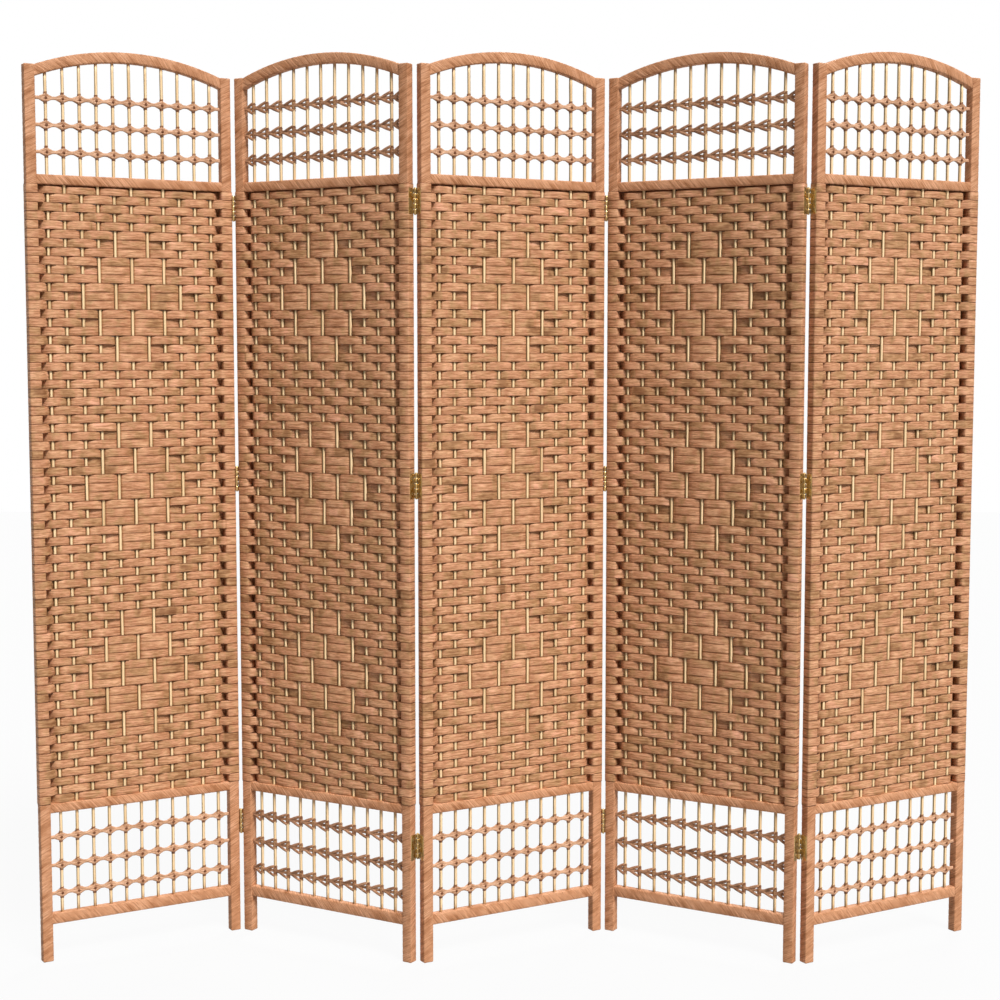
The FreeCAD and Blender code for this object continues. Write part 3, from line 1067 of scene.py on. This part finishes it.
def lens_strands(z, a, b):
    """Three strands in front and two behind, drawn apart where they cross a rod."""
    fan = 1 - np.minimum(BETWEEN, 1 - BETWEEN) * (b - a) / LENS_REACH
    fan = np.clip(fan, 0, 1) ** LENS_POWER
    fan = fan * ((BETWEEN > 0.5) | (a > cord_ends[0])) * ((BETWEEN < 0.5) | (b < cord_ends[-1]))
    return fan, [(level, z + level * (0.8 + 4.3 * fan), face * (1.0 + 3.0 * fan), 2.3 + 0.9 * fan)
                 for face, levels in ((-1, (-1, 0, 1)), (1, (-1, 1))) for level in levels]


def prong_strands(z, a, b):
    """Three strands that start together and part on their way to the right rod."""
    fan = np.clip((BETWEEN - FORK_FROM) / FORK_OVER, 0, 1) ** FORK_POWER
    return fan, [(level, z + level * (1.0 + 8.6 * fan), -2.0 - (1.8 if level else -1.0) * fan,
                  2.7 + 0.35 * np.sin(fan * math.pi) - 0.1 * fan) for level in (-1, 0, 1)]


def strand_tone(lens, level, fan, rng):
    """Lens strands are light, most of all between the rods, and prongs are darker."""
    tone = rng.random() * 0.4 + (0.6 if lens and level == 0 else 0.35 if lens else 0.1)
    return np.minimum(tone + lens * 0.45 * (1 - fan), 1) + rng.normal(0, 0.14, len(BETWEEN))


def tie_rod(ties, x, z, lens, rng):
    """The wraps that hold a cord to a rod, and on lens knots a dark dot of painted shade."""
    wraps, reach, wire = (LENS_WRAPS, 0, 0.75) if lens else (PRONG_WRAPS, 0.35, 0.95)
    for low, high, turns, tone in wraps:
        grid, spin, angle = coil(x, z + low, z + high, ROD_RADIUS + reach, wire, turns)
        ties.tube(grid, spin / 2, 0.5 + 0.45 * np.cos(angle), rng.random() * 0.45 + tone)
    if lens:
        grid, _, angle = turned(SHADOW_DOT, (x, SHADOW_DOT_Y, z - SHADOW_DOT_DROP), (0, -1, 0))
        ties.tube(grid, grid[:, 0, 1], 0.5 + 0 * angle, 0.12)


print("a lens has", len(lens_strands(0, 0, ROD_GAP)[1]), "strands")

# %% Cords and their ties
for n in PANELS:
    rng, lens = draws(n, 40), n % 2 == 1
    cords, ties = Stock(), Stock()
    for z in CORD_Z:
        for a, b in zip(cord_ends[:-1], cord_ends[1:]):
            x = a + (b - a) * BETWEEN
            fan, strands = (lens_strands if lens else prong_strands)(z, a, b)
            for level, rise, y, tall in strands:
                path = together(x, y, rise + rng.normal(0, 0.15))
                grid, angle = ribbon_tube(path, tall, STRAND_DEPTH)
                cords.tube(grid, x / CM + level * 7, 0.5 + 0.45 * np.cos(angle) + level * 2,
                           strand_tone(lens, level, fan, rng))
        for x in ROD_X:
            tie_rod(ties, x, z, lens, rng)
    cords.piece(f"panel_{n}_cords_knotted", KNOT, "knotted_cord", n, f"panel_{n}_knotted_cords")
    ties.piece(f"panel_{n}_cord_ties", TIE, "knotted_cord", n)
print(len(CORD_Z), "cords in each panel")

# %% [markdown]
# ## Brass hinges
#
# Twelve butt hinges join the panels, three to a fold. A leaf is a thin plate with eased corners
# and two countersunk screws. Its edge is rolled into short knuckles, which take turns with the
# other leaf's on one pin. Each knuckle is rounder in the middle, so it catches the light like a
# bead, which one plain cylinder would lose. The stock above makes plates, knuckles, screws and
# pins alike.

# %% A leaf with its knuckles and screws
KNUCKLES, KNUCKLE_RADIUS, KNUCKLE_EASE = 5, 3.0, 0.36
LEAF_THICK, LEAF_WIDE, LEAF_CORNER = 1.2, 16.5, 1.6
ARM_WIDE, ARM_CORNER = 3.4, 0.3  # the part of a leaf that reaches round to a knuckle
LEAF_SHIFT, ARM_SHIFT, SCREW_SHIFT = 0.25, 9.3, 1.5  # from the stile's middle
KNUCKLE_GAP, ARM_GAP, SCREW_AT = 0.02, 0.5, 0.3
BETWEEN_HINGES = 100
SCREW_HEAD = ((-0.9, 1.2), (-0.2, 2.9), (0.12, 2.75), (0.3, 2.0), (0.32, 1.05), (-0.05, 0.95),
              (-0.08, 0.3))


def plate(x_from, x_to, y_mid, z_mid, wide, tall, ease):
    """A flat plate with eased corners and a softened outer edge."""
    layers = []
    for x, inset in ((x_from, 0), (x_to - 0.25 * np.sign(x_to), 0), (x_to, 0.3)):
        outline, _, reach = eased_rectangle(wide - 2 * inset, tall - 2 * inset, ease)
        layers.append(together(x, y_mid + outline[:, 0], z_mid + outline[:, 1]))
    return np.array(layers), np.arange(3.0), reach[:-1] / CM


def pin_place(pins, n):
    return (AXES[n].inverted() @ middle(pins)) / MM


def carrier_of(pins):
    """The number of the panel that the pins ride on."""
    return int(frame["nodes"][pins]["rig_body"][-1])


def hinge_side(fold, label, n, hand):
    node, pins = f"{fold}_{label}_leaves", f"{fold}_pins"
    carrier = carrier_of(pins) == n
    pin_x, pin_y, _ = pin_place(pins, n)
    pin_side = math.copysign(1, pin_y)
    face, skin = hand * STILE_OUTER, hand * (STILE_OUTER + LEAF_THICK)
    leaves, screws = Stock(), Stock()
    for low, high in bands(points_of(node, n)[:, 2], BETWEEN_HINGES):
        tall, mid = high - low, (low + high) / 2
        leaves.tube(*plate(face, skin, pin_side * LEAF_SHIFT, mid, LEAF_WIDE, tall, LEAF_CORNER))
        knuckle = tall / KNUCKLES
        share = np.linspace(-1, 1, 9)
        barrel = together(share * (knuckle / 2 - KNUCKLE_GAP),
                          KNUCKLE_RADIUS * (1 - KNUCKLE_EASE * np.abs(share) ** 3))
        for k in range(0 if carrier else 1, KNUCKLES, 2):
            z = low + knuckle * (k + 0.5)
            leaves.tube(*turned(barrel, (pin_x, pin_y, z), (0, 0, 1)))
            leaves.tube(*plate(face, skin, pin_side * ARM_SHIFT, z, ARM_WIDE, knuckle - ARM_GAP,
                               ARM_CORNER))
        for z in (mid - tall * SCREW_AT, mid + tall * SCREW_AT):
            screws.tube(*turned(SCREW_HEAD, (skin, -pin_side * SCREW_SHIFT, z), (hand, 0, 0)))
    leaves.piece(f"{node}_brass", BRASS, "hinge_brass", n, node)
    screws.piece(f"{fold}_{label}_screws", BRASS, "hinge_brass", n)


print("a screw head has", len(SCREW_HEAD), "rings")

# %% Hinges and their pins
PIN_FOOT = ((-1.0, 0.6), (-0.8, 1.6), (-0.3, 2.1), (0.1, 2.2), (0.2, 1.3))
PIN_HEAD = [(-z, radius) for z, radius in PIN_FOOT[::-1]]

for left in PANELS[:-1]:
    fold = f"fold_{left}_{left + 1}"
    hinge_side(fold, "left", left, 1)
    hinge_side(fold, "right", left + 1, -1)
    pins = f"{fold}_pins"
    n = carrier_of(pins)
    pin_x, pin_y, _ = pin_place(pins, n)
    stock = Stock()
    for low, high in bands(points_of(pins, n)[:, 2], BETWEEN_HINGES):
        profile = [(end + z, radius) for end, part in ((low, PIN_FOOT), (high, PIN_HEAD))
                   for z, radius in part]
        stock.tube(*turned(profile, (pin_x, pin_y, 0), (0, 0, 1)))
    stock.piece(f"{pins}_headed", BRASS, "hinge_brass", n, pins)
print("twelve hinges of", KNUCKLES, "knuckles")
